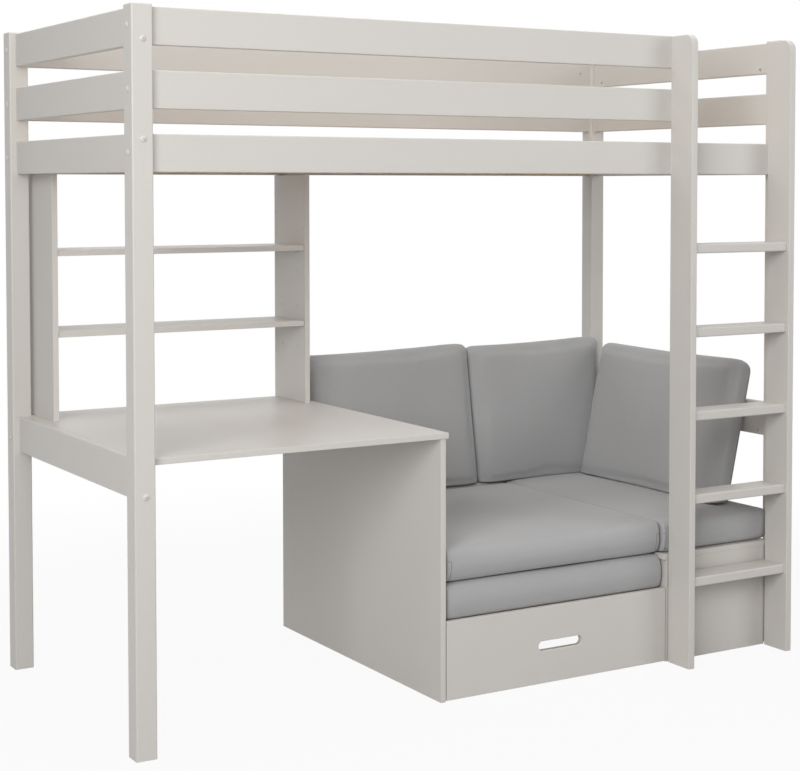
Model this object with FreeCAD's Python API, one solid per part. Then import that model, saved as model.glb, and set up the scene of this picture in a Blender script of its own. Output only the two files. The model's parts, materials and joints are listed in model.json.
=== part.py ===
import FreeCAD, Part
import math
import os

# A high sleeper bed: a berth on four posts with a fixed ladder, and below it a desk with shelves
# and a sofa whose base pulls out and whose upper pad folds forward to make a second bed.
# Millimetres, drawn from the front left corner of the floor: X along the bed, Y to the back, Z up.

# Overall size and posts
LENGTH = 2092.0
DEPTH = 984.0
POST_HEIGHT = 1820.0
POST = 54.0
POST_ROUND = 4.0

# Guard rails of the berth, and the lower rails that tie the posts
RAIL_THICK = 22.0
RAIL_TALL = 92.0
RAIL_GAP = 60.0
RAIL_DROP = 5.0
RAIL_INSET = 18.0
RAIL_ROUND = 3.0
END_RAIL_TALL = 101.0

# Berth base
BEARER_WIDE = 24.0
BEARER_TALL = 32.0
BEARER_LIFT = 4.0
SLAT_COUNT = 14
SLAT_WIDE = 70.0
SLAT_THICK = 18.0
SLAT_PLAY = 3.0
TAPE_WIDE = 25.0
TAPE_THICK = 1.2
TAPE_FROM_RAIL = 180.0

# Bolts, barrel nuts, dowels and screws
BOLT_RADIUS = 3.0
BOLT_IN_RAIL = 52.0
BOLT_HEAD_RADIUS = 8.0
BOLT_HEAD_TALL = 4.0
BOLT_HEAD_RIM = 1.2
KEY_RADIUS = 2.3
BOLT_CLEAR = 0.3
BOLT_FROM_EDGE = 13.0
NUT_RADIUS = 5.0
NUT_LENGTH = 15.0
NUT_FROM_END = 40.0
DOWEL_RADIUS = 4.0
DOWEL_LENGTH = 38.0
DOWEL_CLEAR = 0.1
DOWEL_STEP = 24.0
SCREW_RADIUS = 2.2
SCREW_BITE = 34.0
SCREW_HEAD_RADIUS = 4.5
SCREW_HEAD_TALL = 2.5
SCREW_CLEAR = 0.2

# Ladder
UPRIGHT_THICK = 21.0
UPRIGHT_DEEP = 94.0
UPRIGHT_TOP_ROUND = 30.0
UPRIGHT_ROUND = 2.5
RUNG_CLEAR = 350.0
RUNG_COUNT = 5
RUNG_FIRST = 260.0
RUNG_PITCH = 240.0
RUNG_THICK = 27.0
RUNG_SETBACK = 10.0
RUNG_ROUND = 4.0
RUNG_DOWEL_APART = 40.0
POST_DOWEL_HEIGHTS = (380.0, 860.0, 1340.0)

# Boards of the desk, the shelves and the sofa
BOARD = 16.0
BOARD_ROUND = 1.2
BOARD_FRONT = 23.5

# Desk
DESK_HEIGHT = 728.0
DESK_WIDE = 888.5
DESK_LIP = 3.0
DESK_OVERHANG = 7.5
DESK_POST_GAP = 1.0
DESK_PANEL_SHORT = 12.0
DESK_BEARER = 22.0
DESK_DOWEL_INSET = 120.0

# Shelves on the desk
SHELF_DEEP = 208.0
SHELF_FROM_POST = 13.0
SHELF_FROM_DESK_END = 27.0
SHELF_SHARES = (0.362, 0.692)
SHELF_PLAY = 0.5
SHELF_SETBACK = 6.0
PIN_RADIUS = 2.5
PIN_LENGTH = 20.0
PIN_FROM_EDGE = 54.0
PIN_CLEAR = 0.1
PIN_SPARE_STEP = 60.0

# Sofa box beside the pull-out
DIVIDER_LEAD = 4.0
SIDE_PANEL_GAP = 18.0
PLATFORM_TOP = 316.0
PLATFORM_LEDGE = 10.0
PLATFORM_POST_GAP = 2.0
PLATFORM_BACK_GAP = 4.0

# Seat base: fixed slats and pull-out slats lie side by side, in turn
SEAT_TOP = 212.0
SEAT_SLAT_THICK = 18.0
SEAT_SLAT_WIDE = 42.0
SEAT_SLAT_GAP = 12.0
SEAT_BEAM_WIDE = 30.0
SEAT_BEAM_TALL = 60.0
SEAT_RUN_GAP = 0.4
SEAT_NOTCH_GAP = 1.0
SEAT_END_GAP = 2.0

# Pull-out front, its castors and its travel
PULL_TOP = 217.0
PULL_SIDE_GAP = 3.0
PULL_FLOOR_GAP = 3.0
PULL_TRAVEL = 760.0
PULL_STOP_GAP = 4.0
SLOT_LONG = 147.0
SLOT_TALL = 26.0
SLOT_HEIGHT = 108.0
SLOT_ROUND = 2.5
CASTOR_RADIUS = 25.0
CASTOR_WIDE = 18.0
CASTOR_ROUND = 3.0
CASTOR_INSET = 110.0
CASTOR_BACK = 34.0
CASTOR_SIDE_GAP = 1.0
CASTOR_AXLE_RADIUS = 3.0
CASTOR_AXLE_CLEAR = 0.05
BRACKET_STEEL = 2.5
BRACKET_PLATE_TALL = 56.0
BRACKET_CHEEK_TALL = 26.0

# Seat pads
PAD_FRONT_ROUND = 26.0
PAD_BACK_ROUND = 8.0
PAD_LOW_ROUND = 9.0
PAD_EDGE_ROUND = 6.0
PAD_ROUND_FADE = 0.45
PAD_END_REACH = 8.0
PAD_NOSE = 7.5
PAD_HEEL = 1.5
LOWER_PAD_NOSE = 10.0
LOWER_PAD_EDGE_ROUND = 9.0
INFILL_PAD_ROUND = 20.0
INFILL_PAD_NOSE = 5.0
PAD_CROWN = 6.0
PAD_SIDE_GAP = 1.0
PAD_REST_GAP = 0.3
PAD_FRONT_GAP = 1.5
PAD_FOLD_GAP = 0.5
HINGE_HEM_RADIUS = 1.5
HINGE_STRIP = 0.3
HINGE_WIDE = 60.0
UPPER_PAD_TALL = 101.0
PAD_BACK_REACH = 9.0
PAD_STRIP_GAP = 2.0
INFILL_PAD_TALL = 100.5
INFILL_PAD_FRONT_GAP = 1.5
INFILL_PAD_GAP = 2.0
LOWER_PAD_END_GAP = 3.0
PAD_SHARES = (0.12, 0.3, 0.5, 0.7, 0.88)
PAD_END_SHARES = (0.0, 0.35, 0.7, 1.0)

# Loose cushions
CUSHION_STAND = 97.1
CUSHION_THICK = 80.0
CUSHION_CROWN = 12.0
CUSHION_FOOT_ROUND = 34.0
CUSHION_TOP_ROUND = 24.0
CUSHION_BACK_ROUND = 14.0
CUSHION_NOSE = 6.0
CUSHION_HEEL = 4.0
CUSHION_SINK = 22.0
CUSHION_END_REACH = 60.0
CUSHION_END_INSET = 22.0
CUSHION_DRAW = 5.0
CUSHION_GAP = 1.0
BACK_CUSHION_TALL = 448.0
BACK_CUSHION_LEAN = 7.5
BACK_CUSHION_TURN = 1.2
LEFT_CUSHION_SHARE = 0.537
ARM_CUSHION_TALL = 435.0
ARM_CUSHION_LEAN = 12.5
ARM_CUSHION_TURN = 0.0
ARM_CUSHION_ROOM = 259.0
ARM_CUSHION_PRESS = 22.0

V = FreeCAD.Vector
ALONG_X = V(1, 0, 0)
ALONG_Y = V(0, 1, 0)
ALONG_Z = V(0, 0, 1)

# Places that several pieces share
RAIL_MIDDLE = RAIL_INSET + RAIL_THICK / 2
RAIL_INNER = RAIL_INSET + RAIL_THICK
RAIL_STEP = RAIL_TALL + RAIL_GAP
BERTH_TOPS = {
    "top": POST_HEIGHT - RAIL_DROP,
    "middle": POST_HEIGHT - RAIL_DROP - RAIL_STEP,
    "bottom": POST_HEIGHT - RAIL_DROP - 2 * RAIL_STEP,
}
BERTH_UNDERSIDE = BERTH_TOPS["bottom"] - RAIL_TALL
DESK_UNDERSIDE = DESK_HEIGHT - BOARD
BACK_INNER = DEPTH - RAIL_INNER
RIGHT_INNER = LENGTH - RAIL_INNER
LADDER_FRONT = RAIL_INSET - UPRIGHT_DEEP
LADDER_RIGHT = LENGTH - POST - UPRIGHT_THICK
LADDER_LEFT = LADDER_RIGHT - RUNG_CLEAR - UPRIGHT_THICK
DIVIDER_LEFT = LADDER_LEFT - DIVIDER_LEAD
SOFA_BACK = BACK_INNER - PLATFORM_BACK_GAP

pieces = {}
bored = {}
bolts = []
nuts = []
dowels = []
screws = []


def box(x0, y0, z0, x1, y1, z1):
    """A plain block between two corners."""
    return Part.makeBox(x1 - x0, y1 - y0, z1 - z0, V(x0, y0, z0))


def edges_along(solid, axis):
    """The straight edges of a block that run along an axis."""
    return [edge for edge in solid.Edges if abs(edge.tangentAt(edge.FirstParameter).dot(axis)) > 0.999]


def eased(solid, axis, radius):
    """A block with the edges along one axis rounded."""
    return solid.makeFillet(radius, edges_along(solid, axis))


def board(x0, y0, z0, x1, y1, z1):
    """A painted board with every edge lightly rounded."""
    solid = box(x0, y0, z0, x1, y1, z1)
    return solid.makeFillet(BOARD_ROUND, solid.Edges)


def bore(name, start, direction, radius, depth):
    """Notes a hole in a piece, to be cut when the piece is finished."""
    bored.setdefault(name, []).append(Part.makeCylinder(radius, depth, start, direction))


def key_socket():
    """The six-sided recess in a bolt's head."""
    corners = []
    for number in range(7):
        turn = math.pi * number / 3
        corners.append(V(KEY_RADIUS * math.cos(turn), KEY_RADIUS * math.sin(turn), BOLT_HEAD_RIM))
    return Part.Face(Part.makePolygon(corners)).extrude(V(0, 0, BOLT_HEAD_TALL))


def bolt(face, inward):
    """A bolt with a domed head that sits on a post's outer face."""
    shank = Part.makeCylinder(BOLT_RADIUS, POST + BOLT_IN_RAIL, V(0, 0, 0), V(0, 0, -1))
    rise = BOLT_HEAD_TALL - BOLT_HEAD_RIM
    dome = (BOLT_HEAD_RADIUS ** 2 + rise ** 2) / (2 * rise)
    ball = Part.makeSphere(dome, V(0, 0, BOLT_HEAD_TALL - dome))
    head = Part.makeCylinder(BOLT_HEAD_RADIUS, BOLT_HEAD_TALL).common(ball).cut(key_socket())
    solid = shank.fuse(head).removeSplitter()
    solid.Placement = FreeCAD.Placement(face, FreeCAD.Rotation(ALONG_Z, inward * -1))
    return solid


def screw(seat, inward, through):
    """A screw whose head sits on a face and whose thread bites past the first board."""
    shank = Part.makeCylinder(SCREW_RADIUS, through + SCREW_BITE, seat, inward)
    head = Part.makeCylinder(SCREW_HEAD_RADIUS, SCREW_HEAD_TALL, seat, inward * -1)
    return shank.fuse(head).removeSplitter()


def bolt_joint(post, rail, face, inward, nut_axis):
    """Bolts a rail to a post: a bolt through the post and a barrel nut across the rail's end."""
    hole = BOLT_RADIUS + BOLT_CLEAR
    rail_end = face + inward * POST
    bore(post, face, inward, hole, POST)
    bore(rail, rail_end, inward, hole, BOLT_IN_RAIL + BOLT_CLEAR)
    middle = rail_end + inward * NUT_FROM_END
    low = middle - nut_axis * (NUT_LENGTH / 2)
    bore(rail, low, nut_axis, NUT_RADIUS + BOLT_CLEAR, NUT_LENGTH / 2 + RAIL_THICK / 2)
    nut = Part.makeCylinder(NUT_RADIUS, NUT_LENGTH, low, nut_axis)
    thread = Part.makeCylinder(hole, 4 * NUT_RADIUS, middle - inward * (2 * NUT_RADIUS), inward)
    bolts.append(bolt(face, inward))
    nuts.append(nut.cut(thread))


def dowel_joint(first, second, seam, axis):
    """A dowel across the seam between two pieces."""
    start = seam - axis * (DOWEL_LENGTH / 2)
    for name in (first, second):
        bore(name, start, axis, DOWEL_RADIUS + DOWEL_CLEAR, DOWEL_LENGTH)
    dowels.append(Part.makeCylinder(DOWEL_RADIUS, DOWEL_LENGTH, start, axis))


def screw_joint(first, second, seat, inward, through):
    """A screw through the first piece into the second."""
    for name in (first, second):
        bore(name, seat, inward, SCREW_RADIUS + SCREW_CLEAR, through + SCREW_BITE)
    screws.append(screw(seat, inward, through))


def make_posts():
    """Four square posts, rounded on every edge but the foot."""
    for side, x in (("left", 0.0), ("right", LENGTH - POST)):
        for row, y in (("front", 0.0), ("back", DEPTH - POST)):
            post = box(x, y, 0, x + POST, y + POST, POST_HEIGHT)
            upper = [edge for edge in post.Edges if edge.CenterOfMass.z > POST_ROUND]
            pieces[f"post_{row}_{side}"] = post.makeFillet(POST_ROUND, upper)


def long_rail(name, y, top, tall, end, left_post, right_post):
    """A rail along X between two posts, or from the left post to a given end."""
    rail = box(POST, y, top - tall, end, y + RAIL_THICK, top)
    pieces[name] = eased(rail, ALONG_X, RAIL_ROUND)
    middle = top - tall / 2
    centre = y + RAIL_THICK / 2
    inward = ALONG_Y if y < DEPTH / 2 else ALONG_Y * -1
    for post, face, way in ((left_post, 0.0, 1), (right_post, LENGTH, -1)):
        if post:
            bolt_joint(post, name, V(face, centre, middle), ALONG_X * way, inward)
            dowel_joint(post, name, V(face + way * POST, centre, middle + DOWEL_STEP), ALONG_X * way)


def cross_rail(name, side, top, tall, bolt_height):
    """A rail along Y between the two posts of one end. Without a bolt it is held by dowels alone."""
    x = RAIL_INSET if side == "left" else LENGTH - RAIL_INNER
    rail = box(x, POST, top - tall, x + RAIL_THICK, DEPTH - POST, top)
    pieces[name] = eased(rail, ALONG_Y, RAIL_ROUND)
    centre = x + RAIL_THICK / 2
    inward = ALONG_X if side == "left" else ALONG_X * -1
    middle = top - tall / 2
    for row, face, way in (("front", 0.0, 1), ("back", DEPTH, -1)):
        post = f"post_{row}_{side}"
        seam = face + way * POST
        if bolt_height:
            away = math.copysign(DOWEL_STEP, middle - bolt_height)
            heights = (middle + away,)
            bolt_joint(post, name, V(centre, face, bolt_height), ALONG_Y * way, inward)
        else:
            heights = (middle - DOWEL_STEP, middle + DOWEL_STEP)
        for height in heights:
            dowel_joint(post, name, V(centre, seam, height), ALONG_Y * way)


def make_rails():
    """Guard rails all round the berth, an end rail at desk height on each side, and a low back rail."""
    back_y = DEPTH - RAIL_INNER
    for level, top in BERTH_TOPS.items():
        whole = level == "bottom"
        end = LENGTH - POST if whole else LADDER_LEFT + UPRIGHT_THICK
        right_post = "post_front_right" if whole else None
        long_rail(f"front_rail_{level}", RAIL_INSET, top, RAIL_TALL, end, "post_front_left", right_post)
        long_rail(f"back_rail_{level}", back_y, top, RAIL_TALL, LENGTH - POST, "post_back_left",
                  "post_back_right")
    long_rail("back_rail_low", back_y, DESK_UNDERSIDE, RAIL_TALL, LENGTH - POST, "post_back_left",
              "post_back_right")
    end_bolts = {
        "top": BERTH_TOPS["top"] - RAIL_TALL + BOLT_FROM_EDGE,
        "middle": None,
        "bottom": BERTH_TOPS["bottom"] - BOLT_FROM_EDGE,
    }
    for side in ("left", "right"):
        for level, top in BERTH_TOPS.items():
            cross_rail(f"{side}_rail_{level}", side, top, RAIL_TALL, end_bolts[level])
        low_bolt = DESK_HEIGHT - END_RAIL_TALL + BOLT_FROM_EDGE
        cross_rail(f"{side}_rail_low", side, DESK_HEIGHT, END_RAIL_TALL, low_bolt)


def make_berth_base():
    """Two bearers inside the bottom rails, slats across them and two tapes that space the slats."""
    low = BERTH_UNDERSIDE + BEARER_LIFT
    seat = low + BEARER_TALL
    front = box(POST, RAIL_INNER, low, LENGTH - POST, RAIL_INNER + BEARER_WIDE, seat)
    back = box(POST, BACK_INNER - BEARER_WIDE, low, LENGTH - POST, BACK_INNER, seat)
    pieces["slat_bearers"] = Part.makeCompound([front, back])
    pitch = (RIGHT_INNER - RAIL_INNER) / SLAT_COUNT
    slats = []
    for number in range(SLAT_COUNT):
        x = RAIL_INNER + pitch * (number + 0.5) - SLAT_WIDE / 2
        slat = box(x, RAIL_INNER + SLAT_PLAY, seat, x + SLAT_WIDE, BACK_INNER - SLAT_PLAY, seat + SLAT_THICK)
        slats.append(eased(slat, ALONG_Y, RAIL_ROUND))
    pieces["bed_slats"] = Part.makeCompound(slats)
    start = RAIL_INNER + pitch / 2
    top = seat + SLAT_THICK
    tapes = []
    for y in (RAIL_INNER + TAPE_FROM_RAIL, BACK_INNER - TAPE_FROM_RAIL):
        tapes.append(box(start, y - TAPE_WIDE / 2, top, LENGTH - start, y + TAPE_WIDE / 2, top + TAPE_THICK))
    pieces["slat_tapes"] = Part.makeCompound(tapes)


def upright(x):
    """A ladder upright: a board on edge with its front top corner rounded off."""
    top = BERTH_TOPS["top"]
    solid = box(x, LADDER_FRONT, 0, x + UPRIGHT_THICK, RAIL_INSET, top)
    corner = [edge for edge in edges_along(solid, ALONG_X)
              if edge.CenterOfMass.y < 0 and edge.CenterOfMass.z > top / 2]
    solid = solid.makeFillet(UPRIGHT_TOP_ROUND, corner)
    across = edges_along(solid, ALONG_X)
    rim = [edge for edge in solid.Edges
           if edge.CenterOfMass.z > UPRIGHT_ROUND
           and edge.CenterOfMass.y < RAIL_INSET - UPRIGHT_ROUND
           and edge not in across]
    return solid.makeFillet(UPRIGHT_ROUND, rim)


def make_ladder():
    """Two uprights on the front of the rails and five treads between them."""
    pieces["ladder_upright_left"] = upright(LADDER_LEFT)
    pieces["ladder_upright_right"] = upright(LADDER_RIGHT)
    left_end = LADDER_LEFT + UPRIGHT_THICK
    tread_front = LADDER_FRONT + RUNG_SETBACK
    for number in range(RUNG_COUNT):
        name = f"ladder_rung_{number + 1}"
        top = RUNG_FIRST + RUNG_PITCH * number
        tread = box(left_end, tread_front, top - RUNG_THICK, LADDER_RIGHT, RAIL_INSET, top)
        pieces[name] = eased(tread, ALONG_X, RUNG_ROUND)
        middle = (tread_front + RAIL_INSET) / 2
        for y in (middle - RUNG_DOWEL_APART / 2, middle + RUNG_DOWEL_APART / 2):
            height = top - RUNG_THICK / 2
            rung_dowel("ladder_upright_left", name, V(left_end, y, height), ALONG_X)
            rung_dowel("ladder_upright_right", name, V(LADDER_RIGHT, y, height), ALONG_X * -1)
    for level, top in BERTH_TOPS.items():
        seat = V(LADDER_LEFT + UPRIGHT_THICK / 2, RAIL_INNER, top - RAIL_TALL / 2)
        screw_joint(f"front_rail_{level}", "ladder_upright_left", seat, ALONG_Y * -1, RAIL_THICK)
    between = BERTH_TOPS["bottom"] - RAIL_TALL / 2 + DOWEL_STEP / 2
    seat = V(LADDER_RIGHT + UPRIGHT_THICK / 2, RAIL_INNER, between)
    screw_joint("front_rail_bottom", "ladder_upright_right", seat, ALONG_Y * -1, RAIL_THICK)
    for height in POST_DOWEL_HEIGHTS:
        seam = V(LENGTH - POST, RAIL_INSET / 2, height)
        rung_dowel("ladder_upright_right", "post_front_right", seam, ALONG_X)


def rung_dowel(upright_name, other, seam, axis):
    """A dowel that stops inside the upright and goes deeper into the other piece."""
    shift = DOWEL_LENGTH / 2 - UPRIGHT_THICK * 0.7
    start = seam - axis * (DOWEL_LENGTH / 2 - shift)
    for name in (upright_name, other):
        bore(name, start, axis, DOWEL_RADIUS + DOWEL_CLEAR, DOWEL_LENGTH)
    dowels.append(Part.makeCylinder(DOWEL_RADIUS, DOWEL_LENGTH, start, axis))


def make_desk():
    """The desk top, its side panel and the bearer on the left end rail."""
    left = RAIL_INNER
    top = board(left, BOARD_FRONT - DESK_LIP, DESK_UNDERSIDE, DESK_WIDE + DESK_OVERHANG, DEPTH, DESK_HEIGHT)
    reach = POST + DESK_POST_GAP
    for y0, y1 in ((0, reach), (DEPTH - reach, DEPTH)):
        top = top.cut(box(0, y0, DESK_UNDERSIDE - BOARD, reach, y1, DESK_HEIGHT + BOARD))
    pieces["desk_top"] = top
    inner = DESK_WIDE - BOARD
    panel_back = DEPTH - DESK_PANEL_SHORT
    panel = board(inner, BOARD_FRONT, 0, DESK_WIDE, panel_back, DESK_UNDERSIDE)
    rail_notch = box(inner - BOARD, BACK_INNER - DESK_POST_GAP, DESK_UNDERSIDE - RAIL_TALL - DESK_POST_GAP,
                     DESK_WIDE + BOARD, DEPTH, DESK_HEIGHT)
    pieces["desk_side_panel"] = panel.cut(rail_notch)
    pieces["desk_bearer"] = box(left, reach, DESK_UNDERSIDE - DESK_BEARER, left + DESK_BEARER,
                                DEPTH - reach, DESK_UNDERSIDE)
    for y in (BOARD_FRONT + DESK_DOWEL_INSET, (BOARD_FRONT + DEPTH) / 2, BACK_INNER - DESK_DOWEL_INSET):
        board_dowel("desk_top", "desk_side_panel", V(inner + BOARD / 2, y, DESK_UNDERSIDE), ALONG_Z * -1)
        seat = V(left + DESK_BEARER, y, DESK_UNDERSIDE - DESK_BEARER / 2)
        screw_joint("desk_bearer", "left_rail_low", seat, ALONG_X * -1, DESK_BEARER - SCREW_BITE / 2)


def board_dowel(lying, standing, seam, axis):
    """A dowel that stops inside a lying board and goes down into a standing one."""
    start = seam - axis * (BOARD * 0.6)
    for name in (lying, standing):
        bore(name, start, axis, DOWEL_RADIUS + DOWEL_CLEAR, DOWEL_LENGTH)
    dowels.append(Part.makeCylinder(DOWEL_RADIUS, DOWEL_LENGTH, start, axis))


def make_shelves():
    """Two uprights between the desk and the back rail, and two shelves on pins."""
    front = DEPTH - SHELF_DEEP
    left = POST + SHELF_FROM_POST
    right = DESK_WIDE + DESK_OVERHANG - SHELF_FROM_DESK_END - BOARD
    for side, x in (("left", left), ("right", right)):
        pieces[f"shelf_upright_{side}"] = board(x, front, DESK_HEIGHT, x + BOARD, DEPTH, BERTH_UNDERSIDE)
    pins = []
    columns = (front + PIN_FROM_EDGE, DEPTH - PIN_FROM_EDGE)
    for name, share in zip(("shelf_lower", "shelf_upper"), SHELF_SHARES):
        top = DESK_HEIGHT + share * (BERTH_UNDERSIDE - DESK_HEIGHT)
        pieces[name] = board(left + BOARD + SHELF_PLAY, front + SHELF_SETBACK, top - BOARD,
                             right - SHELF_PLAY, DEPTH, top)
        pin_height = top - BOARD - PIN_RADIUS
        for y in columns:
            for side, face, way in (("left", left + BOARD, -1), ("right", right, 1)):
                for step in (-PIN_SPARE_STEP, 0, PIN_SPARE_STEP):
                    bore(f"shelf_upright_{side}", V(face, y, pin_height + step), ALONG_X * way,
                         PIN_RADIUS + PIN_CLEAR, PIN_LENGTH / 2)
                start = V(face - way * PIN_LENGTH / 2, y, pin_height)
                pins.append(Part.makeCylinder(PIN_RADIUS, PIN_LENGTH, start, ALONG_X * way))
    pieces["shelf_pins"] = Part.makeCompound(pins)


def make_sofa_box():
    """The fixed box behind the ladder: divider, side panel, front panel and the platform on them."""
    under = PLATFORM_TOP - BOARD
    divider_right = DIVIDER_LEFT + BOARD
    side_left = LENGTH - POST - SIDE_PANEL_GAP - BOARD
    pieces["sofa_divider"] = board(DIVIDER_LEFT, BOARD_FRONT, 0, divider_right, SOFA_BACK, under)
    pieces["sofa_side_panel"] = board(side_left, BOARD_FRONT, 0, side_left + BOARD, SOFA_BACK, under)
    pieces["sofa_front_panel"] = board(divider_right, BOARD_FRONT, 0, side_left, BOARD_FRONT + BOARD, under)
    platform_right = LENGTH - POST - PLATFORM_POST_GAP
    pieces["sofa_platform"] = board(DIVIDER_LEFT - PLATFORM_LEDGE, BOARD_FRONT, under, platform_right,
                                    SOFA_BACK, PLATFORM_TOP)
    for x, name in ((DIVIDER_LEFT + BOARD / 2, "sofa_divider"), (side_left + BOARD / 2, "sofa_side_panel")):
        for y in (BOARD_FRONT + DESK_DOWEL_INSET, SOFA_BACK - DESK_DOWEL_INSET):
            board_dowel("sofa_platform", name, V(x, y, under), ALONG_Z * -1)


def make_seat_base():
    """Two fixed beams with their slats, and the pull-out's ledger, slats and tie.

    The beams are notched where the pull-out's slats run over them.
    """
    slat_low = SEAT_TOP - SEAT_SLAT_THICK
    beam_top = slat_low + SEAT_RUN_GAP
    front_back = BOARD_FRONT + BOARD
    ledger_back = front_back + SEAT_BEAM_WIDE
    front_beam = ledger_back + SEAT_END_GAP
    tie_front = front_beam + SEAT_BEAM_WIDE + PULL_STOP_GAP + PULL_TRAVEL
    rear_beam = tie_front + SEAT_BEAM_WIDE + SEAT_END_GAP
    rear_end = rear_beam + SEAT_BEAM_WIDE
    pitch = SEAT_SLAT_WIDE + SEAT_SLAT_GAP
    span = DIVIDER_LEFT - DESK_WIDE
    count = int((span + SEAT_SLAT_GAP) // pitch)
    count -= 1 - count % 2
    start = DESK_WIDE + (span - count * pitch + SEAT_SLAT_GAP) / 2
    fixed = []
    moving = []
    notches = []
    for number in range(count):
        x0 = start + number * pitch
        x1 = x0 + SEAT_SLAT_WIDE
        if number % 2:
            fixed.append(box(x0, front_beam, beam_top, x1, rear_end, SEAT_TOP))
        else:
            moving.append(box(x0, front_back, slat_low, x1, rear_end, SEAT_TOP))
            notches.append(box(x0 - SEAT_NOTCH_GAP, 0, slat_low - SEAT_RUN_GAP,
                               x1 + SEAT_NOTCH_GAP, DEPTH, SEAT_TOP))
    pieces["seat_slats_fixed"] = Part.makeCompound(fixed)
    pieces["pullout_slats"] = Part.makeCompound(moving)
    beams = []
    for y in (front_beam, rear_beam):
        beam = box(DESK_WIDE, y, beam_top - SEAT_BEAM_TALL, DIVIDER_LEFT, y + SEAT_BEAM_WIDE, beam_top)
        beams.append(beam.cut(notches))
    pieces["seat_beams"] = Part.makeCompound(beams)
    for y in (front_beam, rear_beam):
        centre = V(DESK_WIDE, y + SEAT_BEAM_WIDE / 2, beam_top - SEAT_BEAM_TALL / 2)
        board_dowel("desk_side_panel", "seat_beams", centre, ALONG_X)
        centre = V(DIVIDER_LEFT, centre.y, centre.z)
        board_dowel("sofa_divider", "seat_beams", centre, ALONG_X * -1)
    ledger_left = DESK_WIDE + PULL_SIDE_GAP
    ledger_right = DIVIDER_LEFT - PULL_SIDE_GAP
    pieces["pullout_ledger"] = box(ledger_left, front_back, slat_low - SEAT_BEAM_TALL, ledger_right,
                                   ledger_back, slat_low)
    pieces["pullout_tie"] = box(ledger_left, tie_front, slat_low - SEAT_BEAM_TALL, ledger_right,
                                tie_front + SEAT_BEAM_WIDE, slat_low)


def make_pullout_front():
    """The pull-out's front panel with a rounded hand slot."""
    left = DESK_WIDE + PULL_SIDE_GAP
    right = DIVIDER_LEFT - PULL_SIDE_GAP
    back = BOARD_FRONT + BOARD
    panel = board(left, BOARD_FRONT, PULL_FLOOR_GAP, right, back, PULL_TOP)
    middle = (left + right) / 2
    radius = SLOT_TALL / 2
    reach = SLOT_LONG / 2 - radius
    slot = box(middle - reach, 0, SLOT_HEIGHT - radius, middle + reach, POST, SLOT_HEIGHT + radius)
    for x in (middle - reach, middle + reach):
        slot = slot.fuse(Part.makeCylinder(radius, POST, V(x, 0, SLOT_HEIGHT), ALONG_Y))
    panel = panel.cut(slot.removeSplitter())
    inside = [edge for edge in panel.Edges
              if abs(edge.CenterOfMass.x - middle) < SLOT_LONG / 2
              and abs(edge.CenterOfMass.z - SLOT_HEIGHT) < SLOT_TALL
              and abs(edge.CenterOfMass.y - BOARD_FRONT) < BOARD_ROUND / 2]
    pieces["pullout_front"] = panel.makeFillet(SLOT_ROUND, inside)


def make_castors():
    """Two fixed castors behind the pull-out front: a bent bracket with its axle, and a wheel."""
    back = BOARD_FRONT + BOARD
    axle_y = back + CASTOR_BACK
    half = CASTOR_WIDE / 2 + CASTOR_SIDE_GAP
    outer = half + BRACKET_STEEL
    left = DESK_WIDE + PULL_SIDE_GAP + CASTOR_INSET
    right = DIVIDER_LEFT - PULL_SIDE_GAP - CASTOR_INSET
    brackets = []
    wheels = []
    for x in (left, right):
        plate_low = CASTOR_RADIUS - BRACKET_CHEEK_TALL / 2
        bracket = box(x - outer, back, plate_low, x + outer, back + BRACKET_STEEL,
                      plate_low + BRACKET_PLATE_TALL)
        for cheek in (x - outer, x + half):
            bracket = bracket.fuse(box(cheek, back, plate_low, cheek + BRACKET_STEEL,
                                       axle_y + BRACKET_CHEEK_TALL / 2, plate_low + BRACKET_CHEEK_TALL))
        axle_end = V(x - outer, axle_y, CASTOR_RADIUS)
        axle = Part.makeCylinder(CASTOR_AXLE_RADIUS, 2 * outer, axle_end, ALONG_X)
        brackets.append(bracket.fuse(axle).removeSplitter())
        wheel_end = V(x - CASTOR_WIDE / 2, axle_y, CASTOR_RADIUS)
        wheel = Part.makeCylinder(CASTOR_RADIUS, CASTOR_WIDE, wheel_end, ALONG_X)
        rims = [edge for edge in wheel.Edges if edge.Curve.TypeId == "Part::GeomCircle"]
        wheel = wheel.makeFillet(CASTOR_ROUND, rims)
        bush = CASTOR_AXLE_RADIUS + CASTOR_AXLE_CLEAR
        wheels.append(wheel.cut(Part.makeCylinder(bush, 2 * outer, axle_end, ALONG_X)))
    pieces["castor_brackets"] = Part.makeCompound(brackets)
    pieces["castor_wheels"] = Part.makeCompound(wheels)


def soft_corner(start, corner, end):
    """A rounded corner that leaves both its ends towards the corner point."""
    curve = Part.BezierCurve()
    curve.setPoles([start, corner, end])
    return curve.toShape()


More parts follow.
